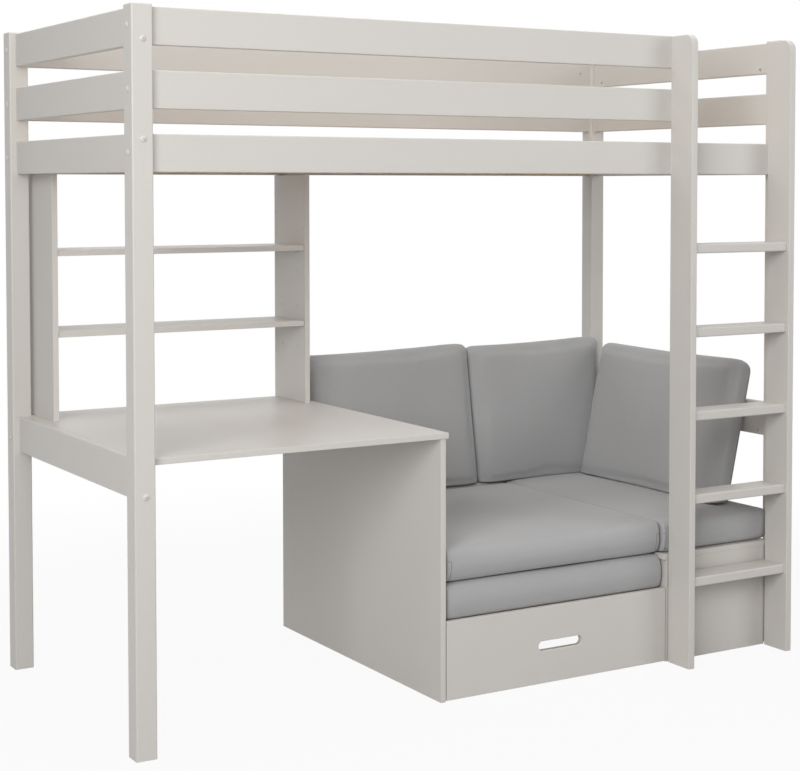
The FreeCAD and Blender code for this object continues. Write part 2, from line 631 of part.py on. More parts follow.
def pad_section(x, y0, y1, z0, z1, rounds, bulges, crown):
    """One closed section across a pad: flat below, bulging at the front and back, crowned on top."""
    front, back, low = rounds
    nose, heel = bulges
    foot = z0 + low
    out = math.tan(2 * math.atan(2 * nose / (z1 - front - foot)))
    away = math.tan(2 * math.atan(2 * heel / (z1 - back - foot)))
    foot_front = V(x, y0 + low * (1 + out), z0)
    foot_back = V(x, y1 - low * (1 + away), z0)
    top_front = V(x, y0 + front * (1 + out), z1)
    top_back = V(x, y1 - back * (1 + away), z1)
    edges = [
        Part.LineSegment(foot_front, foot_back).toShape(),
        soft_corner(foot_back, V(x, y1 - low * away, z0), V(x, y1, foot)),
        Part.Arc(V(x, y1, foot), V(x, y1 + heel, (foot + z1 - back) / 2), V(x, y1, z1 - back)).toShape(),
        soft_corner(V(x, y1, z1 - back), V(x, y1 - back * away, z1), top_back),
        Part.Arc(top_back, V(x, (y0 + y1) / 2, z1 + crown), top_front).toShape(),
        soft_corner(top_front, V(x, y0 + front * out, z1), V(x, y0, z1 - front)),
        Part.Arc(V(x, y0, z1 - front), V(x, y0 - nose, (foot + z1 - front) / 2), V(x, y0, foot)).toShape(),
        soft_corner(V(x, y0, foot), V(x, y0 + low * out, z0), foot_front),
    ]
    return Part.Wire(edges)


def pad(x0, x1, y0, y1, z0, z1, rounds, end, bulges, crown, draw):
    """A stuffed pad within a block: rounded ends, sides drawn in between the corners, crowned top.

    The block holds the front and back bulges and the crown too. The rounds are those of the front and
    back top edges and of the edges below. An end is rounded over a reach along X, by an inset all round.
    """
    reach, depth = end
    nose, heel = bulges
    stations = [(x0 + (x1 - x0) * share, 0.0) for share in PAD_SHARES]
    for share in PAD_END_SHARES:
        run = reach * (1 - math.cos(share * math.pi / 2))
        inset = depth * (1 - math.sin(share * math.pi / 2))
        stations.append((x0 + run, inset))
        stations.append((x1 - run, inset))
    thick = z1 - z0 - crown
    wires = []
    for x, inset in sorted(stations):
        share = 2 * (x - x0) / (x1 - x0) - 1
        swell = 1 - share * share
        low_side = y0 + nose + inset + draw * swell
        high_side = y1 - heel - inset - draw * swell
        rise = max(crown * swell, crown / 100)
        sized = [radius * (1 - 2 * inset / thick) for radius in rounds]
        sized[0] *= 1 - PAD_ROUND_FADE * share * share
        wires.append(pad_section(x, low_side, high_side, z0 + inset, z1 - crown - inset, sized, bulges, rise))
    return Part.makeLoft(wires, True, True)


def make_seat_pads():
    """Two pads stacked as the seat, the upper one folding forward, and a pad on the platform.

    The lower pad's right end is squeezed under the platform's ledge. A strip of the same foam lies on its
    back edge, behind the upper pad, and carries the back cushions.
    """
    left = DESK_WIDE + DESK_OVERHANG + PAD_SIDE_GAP
    ledge = DIVIDER_LEFT - PLATFORM_LEDGE
    right = ledge - PAD_SIDE_GAP
    fold = PLATFORM_TOP - PAD_FOLD_GAP / 2
    front = BOARD_FRONT + BOARD + PAD_FRONT_GAP - LOWER_PAD_NOSE
    fold_front = front - PAD_FOLD_GAP
    hem = Part.makeCylinder(HINGE_HEM_RADIUS, right - left, V(left, fold_front, fold), ALONG_X)
    strip = box(left, fold_front, fold - HINGE_STRIP / 2, right, front + HINGE_WIDE, fold + HINGE_STRIP / 2)
    pieces["pad_hinge_strip"] = hem.fuse(strip).removeSplitter()
    end = (PAD_END_REACH, PAD_EDGE_ROUND)
    square = (LOWER_PAD_EDGE_ROUND, PAD_EDGE_ROUND, PAD_EDGE_ROUND)
    lower = pad(left, DIVIDER_LEFT - LOWER_PAD_END_GAP, front, SOFA_BACK, SEAT_TOP + PAD_REST_GAP,
                fold - PAD_FOLD_GAP / 2, square, end, (LOWER_PAD_NOSE, PAD_HEEL), PAD_CROWN / 100, 0)
    under_ledge = PLATFORM_TOP - BOARD - PAD_SIDE_GAP
    lower = lower.cut(box(right, 0, under_ledge, DIVIDER_LEFT, DEPTH, PLATFORM_TOP))
    stand = PLATFORM_TOP + CUSHION_STAND
    back = back_cushion_front(stand) + PAD_BACK_REACH
    edge = (PAD_BACK_ROUND, PAD_BACK_ROUND, PAD_EDGE_ROUND)
    strip = pad(left, right, back + PAD_STRIP_GAP, SOFA_BACK, PLATFORM_TOP, stand - PAD_REST_GAP, edge, end,
                (PAD_HEEL, PAD_HEEL), PAD_CROWN / 100, 0)
    pieces["seat_pad_lower"] = Part.makeCompound([lower, strip])
    soft = (PAD_FRONT_ROUND, PAD_BACK_ROUND, PAD_LOW_ROUND)
    base = PLATFORM_TOP
    pieces["seat_pad_upper"] = pad(left, right, front, back, base, base + UPPER_PAD_TALL, soft, end,
                                   (PAD_NOSE, PAD_HEEL), PAD_CROWN, 0)
    soft = (INFILL_PAD_ROUND, PAD_BACK_ROUND, PAD_LOW_ROUND)
    base = PLATFORM_TOP + PAD_REST_GAP
    pieces["infill_pad"] = pad(right + INFILL_PAD_GAP, LENGTH - POST - PLATFORM_POST_GAP - PAD_SIDE_GAP,
                               BOARD_FRONT + INFILL_PAD_FRONT_GAP, SOFA_BACK, base, base + INFILL_PAD_TALL,
                               soft, end, (INFILL_PAD_NOSE, PAD_HEEL), PAD_CROWN, 0)


def back_cushion_back(height):
    """Y of the back cushions' back at a height: they lean on the low back rail's top edge."""
    slope = math.tan(math.radians(BACK_CUSHION_LEAN))
    return BACK_INNER - PAD_REST_GAP - (DESK_UNDERSIDE - height) * slope


def back_cushion_front(height):
    """Y of the back cushions' front at a height, without the crown."""
    return back_cushion_back(height) - CUSHION_THICK / math.cos(math.radians(BACK_CUSHION_LEAN))


def standing_cushion(wide, tall, lean, turn):
    """A cushion that stands on its long edge with its back against Y = 0, cut flat below.

    It leans back, and is turned a little in its own plane, with its right side up.
    """
    below = (CUSHION_THICK + CUSHION_CROWN) * math.tan(math.radians(lean)) + CUSHION_NOSE + CUSHION_SINK
    rounds = (CUSHION_FOOT_ROUND, CUSHION_TOP_ROUND, CUSHION_BACK_ROUND)
    solid = pad(0, wide, -below, tall, 0, CUSHION_THICK + CUSHION_CROWN, rounds,
                (CUSHION_END_REACH, CUSHION_END_INSET), (CUSHION_NOSE, CUSHION_HEEL), CUSHION_CROWN, CUSHION_DRAW)
    solid.rotate(V(wide / 2, 0, 0), ALONG_Z, turn)
    solid.rotate(V(0, 0, 0), ALONG_X, 90 - lean)
    return solid.cut(box(-wide, -tall, -tall, 2 * wide, tall, 0))


def make_cushions():
    """Two back cushions that lean on the low back rail and an arm cushion on the right end rail.

    The right back cushion gives way to the post in the corner, and the arm cushion to that cushion.
    """
    base = PLATFORM_TOP + CUSHION_STAND
    slant = math.sin(math.radians(BACK_CUSHION_TURN))
    left = DESK_WIDE + DESK_OVERHANG + PAD_SIDE_GAP + BACK_CUSHION_TALL * slant
    right = RIGHT_INNER - PLATFORM_POST_GAP + (DESK_HEIGHT - END_RAIL_TALL - base) * slant
    split = left + LEFT_CUSHION_SHARE * (right - left)
    corner = box(LENGTH - POST - PAD_REST_GAP, DEPTH - POST - PAD_REST_GAP, 0, LENGTH, DEPTH, POST_HEIGHT)
    for side, x0, x1 in (("left", left, split), ("right", split + CUSHION_GAP, right)):
        cushion = standing_cushion(x1 - x0, BACK_CUSHION_TALL, BACK_CUSHION_LEAN, BACK_CUSHION_TURN)
        cushion.translate(V(x0, back_cushion_back(base), base))
        pieces[f"back_cushion_{side}"] = cushion.cut(corner)
    pressed = pieces["back_cushion_right"].translated(V(0, -PAD_REST_GAP, 0))
    base = PLATFORM_TOP + INFILL_PAD_TALL + 2 * PAD_REST_GAP
    slope = math.tan(math.radians(ARM_CUSHION_LEAN))
    back_x = RIGHT_INNER - PAD_REST_GAP - (DESK_HEIGHT - base) * slope
    arm = standing_cushion(DEPTH - ARM_CUSHION_ROOM, ARM_CUSHION_TALL, ARM_CUSHION_LEAN, ARM_CUSHION_TURN)
    arm.rotate(V(0, 0, 0), ALONG_Z, -90)
    arm.translate(V(back_x, back_cushion_front(base) + ARM_CUSHION_PRESS, base))
    pieces["arm_cushion"] = arm.cut(pressed)


def finish():
    """Cuts the noted holes, moves the origin to the middle of the footprint and writes the pieces."""
    pieces["rail_bolts"] = Part.makeCompound(bolts)
    pieces["barrel_nuts"] = Part.makeCompound(nuts)
    pieces["dowels"] = Part.makeCompound(dowels)
    pieces["screws"] = Part.makeCompound(screws)
    origin = V(LENGTH / 2, (LADDER_FRONT + DEPTH + BOLT_HEAD_TALL) / 2, 0)
    os.makedirs("parts", exist_ok=True)
    for name, shape in pieces.items():
        if name in bored:
            shape = Part.makeCompound([solid.cut(bored[name]) for solid in shape.Solids])
        solids = shape.Solids
        whole = solids[0] if len(solids) == 1 else Part.makeCompound(solids)
        whole.translate(origin * -1)
        whole.exportStep(f"parts/{name}.step")
        print(f"{name}: {len(solids)} solids, {whole.Volume / 1000:.0f} cm3, valid {whole.isValid()}")
    print(f"{len(pieces)} pieces")


make_posts()
make_rails()
make_berth_base()
make_ladder()
make_desk()
make_shelves()
make_sofa_box()
make_seat_base()
make_pullout_front()
make_castors()
make_seat_pads()
make_cushions()
finish()
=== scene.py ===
# %% [markdown]
# # A high sleeper bed with a desk, shelves and a sofa bed
#
# The bed's solid parts come from CAD, already in place, in metres, with +Z up and the floor at zero.
# This lesson dresses them: paint on the wood, stuffed pads and cushions in place of their plain
# solids, and a pale studio round it all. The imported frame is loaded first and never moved.

# %% Load the frame
import json
import math

import bmesh
import bpy
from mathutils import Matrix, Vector, noise
from mathutils.bvhtree import BVHTree
from mathutils.kdtree import KDTree


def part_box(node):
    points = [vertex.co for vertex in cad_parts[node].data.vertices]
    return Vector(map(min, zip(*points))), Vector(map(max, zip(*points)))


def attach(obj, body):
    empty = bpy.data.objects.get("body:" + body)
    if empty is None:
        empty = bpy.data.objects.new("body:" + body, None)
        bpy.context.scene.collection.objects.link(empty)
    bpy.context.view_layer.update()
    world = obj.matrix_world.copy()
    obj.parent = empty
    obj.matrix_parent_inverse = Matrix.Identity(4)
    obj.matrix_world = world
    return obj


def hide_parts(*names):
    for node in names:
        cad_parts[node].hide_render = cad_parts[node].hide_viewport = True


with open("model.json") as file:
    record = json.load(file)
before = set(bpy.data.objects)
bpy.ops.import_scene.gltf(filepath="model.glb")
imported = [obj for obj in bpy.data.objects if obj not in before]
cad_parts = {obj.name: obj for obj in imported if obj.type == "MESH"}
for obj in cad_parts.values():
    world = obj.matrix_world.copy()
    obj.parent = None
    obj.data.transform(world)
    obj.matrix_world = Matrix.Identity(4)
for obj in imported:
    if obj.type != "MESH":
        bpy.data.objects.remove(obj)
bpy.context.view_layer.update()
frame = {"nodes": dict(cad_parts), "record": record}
scene = bpy.context.scene
nodes = frame["nodes"]

# %% [markdown]
# ## The camera
#
# The picture was taken from the front left corner of the bed, a little below the berth, with a long
# lens. Its upright edges stay nearly parallel, which a view camera gets by looking level and shifting
# its film. Most of that is done here with lens shift, and the rest with a slight tilt.

# %% Camera
PICTURE_WIDE = 800
FOCAL_PX = 1718.8
SENSOR_MM = 36.0
SHIFT_X = -0.0501
SHIFT_Y = -0.1594
CAMERA_PLACE = (-2.5574, -4.3122, 1.3890)
TILT_DOWN = 2.438
TURN_RIGHT = 31.541

lens = bpy.data.cameras.new("view")
lens.sensor_width = SENSOR_MM
lens.lens = FOCAL_PX / PICTURE_WIDE * SENSOR_MM
lens.shift_x = SHIFT_X
lens.shift_y = SHIFT_Y
camera = bpy.data.objects.new("view", lens)
camera.location = CAMERA_PLACE
camera.rotation_euler = (math.radians(90 - TILT_DOWN), 0, math.radians(-TURN_RIGHT))
scene.collection.objects.link(camera)
scene.camera = camera
print(f"lens {lens.lens:.1f} mm")

# %% [markdown]
# ## Writing a finish as an expression
#
# A finish is a tree of nodes, and trees drawn by hand are hard to read back. Here one small class
# stands for the output of a node. Adding or multiplying two of them adds a Math node, so a finish
# reads as a sum. Every other node comes from `make`, which takes the node's type, its settings, then
# its inputs.


# %% The wire class
class Wire:
    """One output of a node. Python's operators on it add Math nodes to the same tree."""

    def __init__(self, socket):
        self.socket = socket

    @staticmethod
    def make(tree, kind, settings, inputs, *outputs):
        """Adds a node: its settings first, then the values or links of its sockets.

        Gives back its first output, or the outputs that are named.
        """
        node = tree.nodes.new(kind)
        for name, value in settings.items():
            setattr(node, name, value)
        for name, value in inputs.items():
            if isinstance(value, Wire):
                tree.links.new(value.socket, node.inputs[name])
            else:
                node.inputs[name].default_value = value
        if len(outputs) > 1:
            return [Wire(node.outputs[name]) for name in outputs]
        if node.outputs:
            return Wire(node.outputs[outputs[0] if outputs else 0])
        return None

    def math(self, operation, *values):
        """A Math node on these values in order, or on this wire alone if there are none."""
        inputs = dict(enumerate(values or (self,)))
        return self.make(self.socket.id_data, "ShaderNodeMath", {"operation": operation}, inputs)

    def __add__(self, other):
        return self.math("ADD", self, other)

    def __sub__(self, other):
        return self.math("SUBTRACT", self, other)

    def __rsub__(self, other):
        return self.math("SUBTRACT", other, self)

    def __mul__(self, other):
        return self.math("MULTIPLY", self, other)

    def __truediv__(self, other):
        return self.math("DIVIDE", self, other)

    def __rtruediv__(self, other):
        return self.math("DIVIDE", other, self)

    def __pow__(self, other):
        return self.math("POWER", self, other)

    def __rpow__(self, other):
        return self.math("POWER", other, self)

    def __abs__(self):
        return self.math("ABSOLUTE")

    __radd__ = __add__
    __rmul__ = __mul__


# %% Small helpers for finishes
MIX_FACTOR = 0
MIX_FIRST_COLOUR = 6
MIX_SECOND_COLOUR = 7
MIX_COLOUR_RESULT = 2


def new_tree(name):
    """An empty material and its node tree."""
    material = bpy.data.materials.new(name)
    material.use_nodes = True
    material.node_tree.nodes.clear()
    return material, material.node_tree


def place_on_object(tree):
    """Where a point lies on the bed, in metres."""
    return Wire.make(tree, "ShaderNodeTexCoord", {}, {}, "Object")


def stretched(place, scale, finer=1):
    """The place with each axis scaled, so that a pattern runs along the wood or the thread."""
    inputs = {"Vector": place, "Scale": [part * finer for part in scale]}
    return Wire.make(place.socket.id_data, "ShaderNodeMapping", {}, inputs)


def cloudy(place, scale=1.0, detail=2.0, rough=0.5, twist=0.0):
    """Soft noise between 0 and 1."""
    inputs = {
        "Vector": place,
        "Scale": scale,
        "Detail": detail,
        "Roughness": rough,
        "Distortion": twist,
    }
    settings = {"noise_dimensions": "3D"}
    return Wire.make(place.socket.id_data, "ShaderNodeTexNoise", settings, inputs, "Fac")


def blended(factor, first, second):
    """A colour between two colours."""
    settings = {"data_type": "RGBA", "blend_type": "MIX"}
    inputs = {MIX_FACTOR: factor, MIX_FIRST_COLOUR: first, MIX_SECOND_COLOUR: second}
    return Wire.make(factor.socket.id_data, "ShaderNodeMix", settings, inputs, MIX_COLOUR_RESULT)


def raised(height, depth):
    """A bump of a given depth in metres."""
    inputs = {"Height": height, "Distance": depth, "Strength": 1.0}
    return Wire.make(height.socket.id_data, "ShaderNodeBump", {}, inputs, "Normal")


def finished(tree, **sockets):
    """The Principled shader with these inputs, and the material's output."""
    named = {name.replace("_", " "): value for name, value in sockets.items()}
    shader = Wire.make(tree, "ShaderNodeBsdfPrincipled", {}, named)
    Wire.make(tree, "ShaderNodeOutputMaterial", {}, {"Surface": shader})


print("finish helpers ready")

# %% [markdown]
# ## Satin paint on wood
#
# Posts, rails and treads are softwood under a warm grey satin paint. The paint hides the colour of
# the wood but not all of its grain, which shows as faint long ridges and a slightly uneven gloss. One
# paint could serve every piece, but the ridges have to run along each piece, so there is one finish
# per axis.

# %% Paint for wood
AXES = "XYZ"
PAINT_LIGHT = (0.640, 0.614, 0.578, 1.0)
PAINT_DEEP = (0.602, 0.577, 0.543, 1.0)
GRAIN_ACROSS = 130.0
GRAIN_ALONG = 5.0
BRUSH_FINER = 3
PATCHES_PER_M = 2.2
SPECKS_PER_M = 900.0
GRAIN_DEPTH = 0.00035


def drawn_out(axis, across, along):
    """A scale that draws a pattern out along one axis."""
    scale = [across] * 3
    scale[axis] = along
    return scale


def wood_paint(axis):
    """Satin paint whose grain runs along one axis."""
    material, tree = new_tree(f"satin_paint_{AXES[axis]}")
    place = place_on_object(tree)
    scale = drawn_out(axis, GRAIN_ACROSS, GRAIN_ALONG)
    grain = cloudy(stretched(place, scale), detail=4.0, rough=0.6, twist=0.4)
    brushed = cloudy(stretched(place, scale, BRUSH_FINER))
    patches = cloudy(place, PATCHES_PER_M)
    specks = cloudy(place, SPECKS_PER_M, detail=1.0)
    finished(
        tree,
        Base_Color=blended(patches * 0.6 + grain * 0.4, PAINT_DEEP, PAINT_LIGHT),
        Roughness=0.36 + 0.1 * brushed + 0.06 * patches,
        Normal=raised(grain * 0.7 + brushed * 0.2 + specks * 0.1, GRAIN_DEPTH),
    )
    return material


paint = [wood_paint(axis) for axis in range(3)]
print("paint:", [material.name for material in paint])

# %% [markdown]
# ## Satin paint on board
#
# Desk, shelves and sofa panels are smooth board. Sprayed paint dries there with a fine orange-peel
# ripple and no grain. Noise at two sizes gives the ripple and the slow drift of gloss over a wide
# panel.

# %% Paint for boards
PEEL_PER_M = 420.0
DRIFT_PER_M = 1.7
PEEL_DEPTH = 0.00012

board_paint, tree = new_tree("satin_paint_board")
place = place_on_object(tree)
peel = cloudy(place, PEEL_PER_M)
drift = cloudy(place, DRIFT_PER_M)
finished(
    tree,
    Base_Color=blended(drift * 0.8 + peel * 0.2, PAINT_DEEP, PAINT_LIGHT),
    Roughness=0.34 + 0.08 * drift + 0.05 * peel,
    Normal=raised(peel, PEEL_DEPTH),
)
print("board paint:", board_paint.name)

# %% [markdown]
# ## Bare softwood
#
# Slats, bearers and the seat's beams are planed and left bare. Their pale yellow wood has rings that
# show as long darker lines. A wave texture would draw them too evenly, so they are the level lines of
# a noise that is drawn out along the piece, like the lines of height on a map.

# %% Bare wood
WOOD_PALE = (0.640, 0.470, 0.290, 1.0)
WOOD_RING = (0.430, 0.270, 0.130, 1.0)
RINGS_ACROSS = 28.0
RINGS_ALONG = 1.2
RING_LEVELS = 7.0
RING_SHARPNESS = 3.0
FIBRES_FINER = 14
FIBRE_DEPTH = 0.0002


def bare_wood(axis):
    """Planed softwood whose rings run along one axis."""
    material, tree = new_tree(f"bare_wood_{AXES[axis]}")
    place = place_on_object(tree)
    scale = drawn_out(axis, RINGS_ACROSS, RINGS_ALONG)
    level = cloudy(stretched(place, scale), twist=1.2) * RING_LEVELS
    lines = abs((level.math("FRACT") - 0.5) * 2.0) ** RING_SHARPNESS
    fibres = cloudy(stretched(place, scale, FIBRES_FINER))
    finished(
        tree,
        Base_Color=blended(lines * 0.55 + fibres * 0.2, WOOD_PALE, WOOD_RING),
        Roughness=0.62 + 0.14 * fibres,
        Normal=raised(fibres + lines * 0.5, FIBRE_DEPTH),
    )
    return material


softwood = [bare_wood(axis) for axis in range(3)]
print("bare wood:", [material.name for material in softwood])

# %% [markdown]
# ## Steel and plastic
#
# Bolt heads on the posts are painted to match. Screws, nuts, shelf pins and castor brackets are bright
# zinc with fine scuffs, and the castor wheels are dark moulded plastic. All three are small and seen
# from far off, so one function gives them all: two tones that drift into each other, and the scuffs.

# %% Metal and plastic finishes
ZINC_DULL = (0.55, 0.56, 0.57, 1.0)
ZINC_BRIGHT = (0.68, 0.68, 0.67, 1.0)
WHEEL_DARK = (0.030, 0.030, 0.032, 1.0)
WHEEL_PALE = (0.050, 0.050, 0.052, 1.0)
TONES_PER_M = 90.0
SCUFFS_PER_M = 1400.0
SCUFF_DEPTH = 0.00004


def small_part_finish(name, first, second, metal, rough):
    """A finish for small fittings: two tones and fine scuffs."""
    material, tree = new_tree(name)
    place = place_on_object(tree)
    tones = cloudy(place, TONES_PER_M, detail=3.0)
    scuffs = cloudy(place, SCUFFS_PER_M)
    finished(
        tree,
        Base_Color=blended(tones, first, second),
        Metallic=metal,
        Roughness=rough + 0.12 * scuffs,
        Normal=raised(scuffs, SCUFF_DEPTH),
    )
    return material


bolt_paint = small_part_finish("bolt_paint", PAINT_DEEP, PAINT_LIGHT, metal=0.0, rough=0.26)
zinc = small_part_finish("zinc", ZINC_DULL, ZINC_BRIGHT, metal=1.0, rough=0.28)
wheel_plastic = small_part_finish("wheel_plastic", WHEEL_DARK, WHEEL_PALE, metal=0.0, rough=0.42)
print("small parts:", bolt_paint.name, zinc.name, wheel_plastic.name)

# %% [markdown]
# ## Upholstery cloth
#
# The pads wear a plain-woven grey cloth. A weave is two sets of threads that pass over each other in
# turn. A flat pattern would smear on the sides of a pad, so the weave is drawn on three planes, and
# the way the surface faces decides which plane shows. Slubs, thicker lengths of thread, break up the
# evenness. Seam threads and the slat tapes are the same weave in other tones. The strip in the fold is
# the same weave in a dark grey that is painted shade: it stands in for the shadow deep in the fold.

# %% Cloth
CLOTH_LIGHT = (0.475, 0.475, 0.479, 1.0)
CLOTH_DEEP = (0.362, 0.362, 0.366, 1.0)
THREAD_LIGHT = (0.270, 0.270, 0.273, 1.0)
THREAD_DEEP = (0.200, 0.200, 0.203, 1.0)
# Painted shade: the fold strip's dark grey stands in for the shadow deep in the fold between the pads.
FOLD_SHADE_STRIP_LIGHT = (0.200, 0.200, 0.203, 1.0)
FOLD_SHADE_STRIP_DEEP = (0.140, 0.140, 0.143, 1.0)
TAPE_LIGHT = (0.72, 0.71, 0.67, 1.0)
TAPE_DEEP = (0.55, 0.54, 0.50, 1.0)
THREADS_PER_M = 700.0
PLANE_SHARPNESS = 4.0
SLUBS_ALONG = (30.0, 260.0, 260.0)
SLUBS_ACROSS = (260.0, 60.0, 60.0)
WEAR_PER_M = 5.0
WEAVE_DEPTH = 0.0006


def split(vector):
    """The three parts of a vector."""
    return Wire.make(vector.socket.id_data, "ShaderNodeSeparateXYZ", {}, {"Vector": vector}, *AXES)


def threads(first, second):
    """Two sets of threads, over and under in turn, on one plane."""
    turn = math.pi * THREADS_PER_M
    return (first * turn).math("SINE") * (second * turn).math("SINE") * 0.5 + 0.5


def woven(name, light, deep):
    """A plain weave with slubs and a soft nap."""
    material, tree = new_tree(name)
    place = place_on_object(tree)
    facing = Wire.make(tree, "ShaderNodeTexCoord", {}, {}, "Normal")
    x, y, z = split(place)
    side, front, top = [abs(part) ** PLANE_SHARPNESS for part in split(facing)]
    planes = threads(y, z) * side + threads(x, z) * front + threads(x, y) * top
    weave = planes / (side + front + top)
    slubs = cloudy(stretched(place, SLUBS_ALONG)) * 0.5
    slubs = slubs + cloudy(stretched(place, SLUBS_ACROSS)) * 0.5
    worn = cloudy(place, WEAR_PER_M, detail=3.0)
    finished(
        tree,
        Base_Color=blended(weave * 0.35 + slubs * 0.45 + worn * 0.2, deep, light),
        Roughness=0.84 + 0.1 * slubs,
        Sheen_Weight=0.25,
        Sheen_Roughness=0.5,
        Specular_IOR_Level=0.25,
        Normal=raised(weave * 0.6 + slubs * 0.4, WEAVE_DEPTH),
    )
    return material


cloth = woven("grey_cloth", CLOTH_LIGHT, CLOTH_DEEP)
thread = woven("seam_thread", THREAD_LIGHT, THREAD_DEEP)
# The fold strip's finish is painted shade: its dark grey stands in for the fold's shadow.
fold_shade_strip = woven("fold_shade_webbing", FOLD_SHADE_STRIP_LIGHT, FOLD_SHADE_STRIP_DEEP)
webbing = woven("pale_webbing", TAPE_LIGHT, TAPE_DEEP)
print("woven:", cloth.name, thread.name, fold_shade_strip.name, webbing.name)

# %% [markdown]
# ## Finishes on the CAD pieces
#
# The record says which slot each CAD node belongs to, and the slot picks the finish. The grain of a
# board or post runs along its longest side, so the longest side of the node's box picks the axis. A
# row of slats is wider than its slats are long, so slats are named apart.

# %% Put the finishes on
SLATS = ("bed_slats", "seat_slats_fixed", "pullout_slats")


def grain_axis(node):
    """The axis that the grain of a node runs along. Slats lie along Y."""
    if node in SLATS:
        return AXES.index("Y")
    low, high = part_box(node)
    sides = high - low
    return max(range(3), key=lambda axis: sides[axis])


slot_of = {row["node"]: row["material_slot"] for row in frame["record"]["subparts"]}
finish_of = {
    "painted_wood": lambda node: paint[grain_axis(node)],
    "painted_board": lambda node: board_paint,
    "bare_wood": lambda node: softwood[grain_axis(node)],
    "painted_steel": lambda node: bolt_paint,
    "steel": lambda node: zinc,
    "castor_plastic": lambda node: wheel_plastic,
    "upholstery": lambda node: cloth,
    "webbing": lambda node: webbing,
}
for name, piece in nodes.items():
    piece.data.materials.clear()
    piece.data.materials.append(finish_of[slot_of[name]](name))
print(f"{len(nodes)} nodes painted")

# %% [markdown]
# ## Stuffed pads and cushions
#
# Each pad is foam in a sewn cover. Modelled as a block it looks like a box, so the cover is simulated:
# the CAD shape is remeshed into even squares and blown up from inside as cloth. Squares fine enough
# for a neat edge would take long to simulate, so coarse squares are blown up and fine ones follow
# them. A blown-up cover also pulls its seams inwards, which foam doesn't let it do, so only the way
# out of the surface is kept, and it is capped: at a few millimetres on the free side of a cushion,
# and at almost nothing where a pad touches something.

# %% Even squares
FINE = 0.006
COARSE = 0.012
EVENING_PASSES = 2


def evaluated_mesh(piece):
    """The mesh of a piece with its modifiers applied."""
    graph = bpy.context.evaluated_depsgraph_get()
    return bpy.data.meshes.new_from_object(piece.evaluated_get(graph))


def bake_modifiers(piece):
    """Swaps a piece's mesh for the modified one and drops the modifiers."""
    mesh = evaluated_mesh(piece)
    piece.modifiers.clear()
    piece.data = mesh


def even_squares(node, name, square):
    """A new piece with the form of a CAD node, in even squares, its remeshed steps smoothed."""
    piece = bpy.data.objects.new(name, nodes[node].data.copy())
    scene.collection.objects.link(piece)
    remesh = piece.modifiers.new("even squares", "REMESH")
    remesh.mode = "VOXEL"
    remesh.voxel_size = square
    smooth = piece.modifiers.new("smooth", "SMOOTH")
    smooth.iterations = EVENING_PASSES
    bake_modifiers(piece)
    return piece


print(f"squares of {FINE * 1000:.0f} and {COARSE * 1000:.0f} mm")

# %% Blowing up a cover
STEPS = 20
PUFF = 4.0
COVER_MASS = 0.25
COVER_QUALITY = 4
NEAR_POINTS = 4
NEAR_SOFTENING = COARSE / 10


def nearest(places):
    """A search tree over a list of places."""
    tree = KDTree(len(places))
    for index, place in enumerate(places):
        tree.insert(place, index)
    tree.balance()
    return tree


def blown_up(node):
    """Coarse points of a cover, and how far each goes outwards when it is blown up as cloth."""
    piece = even_squares(node, "coarse", COARSE)
    start = [vertex.co.copy() for vertex in piece.data.vertices]
    outward = [vertex.normal.copy() for vertex in piece.data.vertices]
    cover = piece.modifiers.new("cover", "CLOTH").settings
    cover.quality = COVER_QUALITY
    cover.mass = COVER_MASS
    cover.use_pressure = True
    cover.uniform_pressure_force = PUFF
    cover.effector_weights.gravity = 0.0
    for step in range(1, STEPS + 1):
        scene.frame_set(step)
    ends = [vertex.co.copy() for vertex in evaluated_mesh(piece).vertices]
    pushes = [(end - place).dot(normal) for end, place, normal in zip(ends, start, outward)]
    bpy.data.objects.remove(piece)
    scene.frame_set(1)
    return start, pushes


def pushed_out(node, points):
    """How far a node's blown-up cover goes outwards at each of these points."""
    start, pushes = blown_up(node)
    tree = nearest(start)
    found = []
    for point in points:
        near = tree.find_n(point, NEAR_POINTS)
        shares = [1 / (distance + NEAR_SOFTENING) for place, index, distance in near]
        found.append(sum(pushes[hit[1]] * share for hit, share in zip(near, shares)) / sum(shares))
    return found


# %% Stuffing a piece
TUCK = 0.001
UNEVEN = 0.0016
LUMPS_PER_M = 6.0
CREASES_PER_M = 20.0
CREASE_SHARE = 0.3


def sunken(place):
    """How far foam has settled at a place, mostly between 0 and 1."""
    lumps = noise.noise(place * LUMPS_PER_M) + CREASE_SHARE * noise.noise(place * CREASES_PER_M)
    return (1 - lumps) / 2


def filled(normal, corners):
    """How far foam fills the cover where it faces into these corners."""
    return sum(
        2 * amount * max(normal.dot(one), 0.0) * max(normal.dot(other), 0.0)
        for one, other, amount in corners
    )


def stuffed(node, name, body, free, rise, corners, softening):
    """A stuffed piece in place of a CAD solid.

    It rises by no more than `rise` on its `free` side. Each of `corners` is two directions, and how
    far foam fills the corner between them, or how far the cover pulls it in where that is negative.
    """
    piece = even_squares(node, name, FINE)
    start = [vertex.co.copy() for vertex in piece.data.vertices]
    outward = [vertex.normal.copy() for vertex in piece.data.vertices]
    pushes = pushed_out(node, start)
    for vertex, normal, push in zip(piece.data.vertices, outward, pushes):
        opened = max(normal.dot(free), 0.0) ** 2
        cap = TUCK + rise * opened
        swell = cap * push / (cap + abs(push)) - TUCK
        dip = UNEVEN * opened * sunken(vertex.co)
        vertex.co += normal * (swell - dip + filled(normal, corners))
    smooth = piece.modifiers.new("soften", "SMOOTH")
    smooth.iterations = softening
    bake_modifiers(piece)
    piece.data.shade_smooth()
    piece.data.materials.clear()
    piece.data.materials.append(cloth)
    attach(piece, body)
    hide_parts(node)
    print(f"{name}: {len(piece.data.vertices)} points")
    return piece


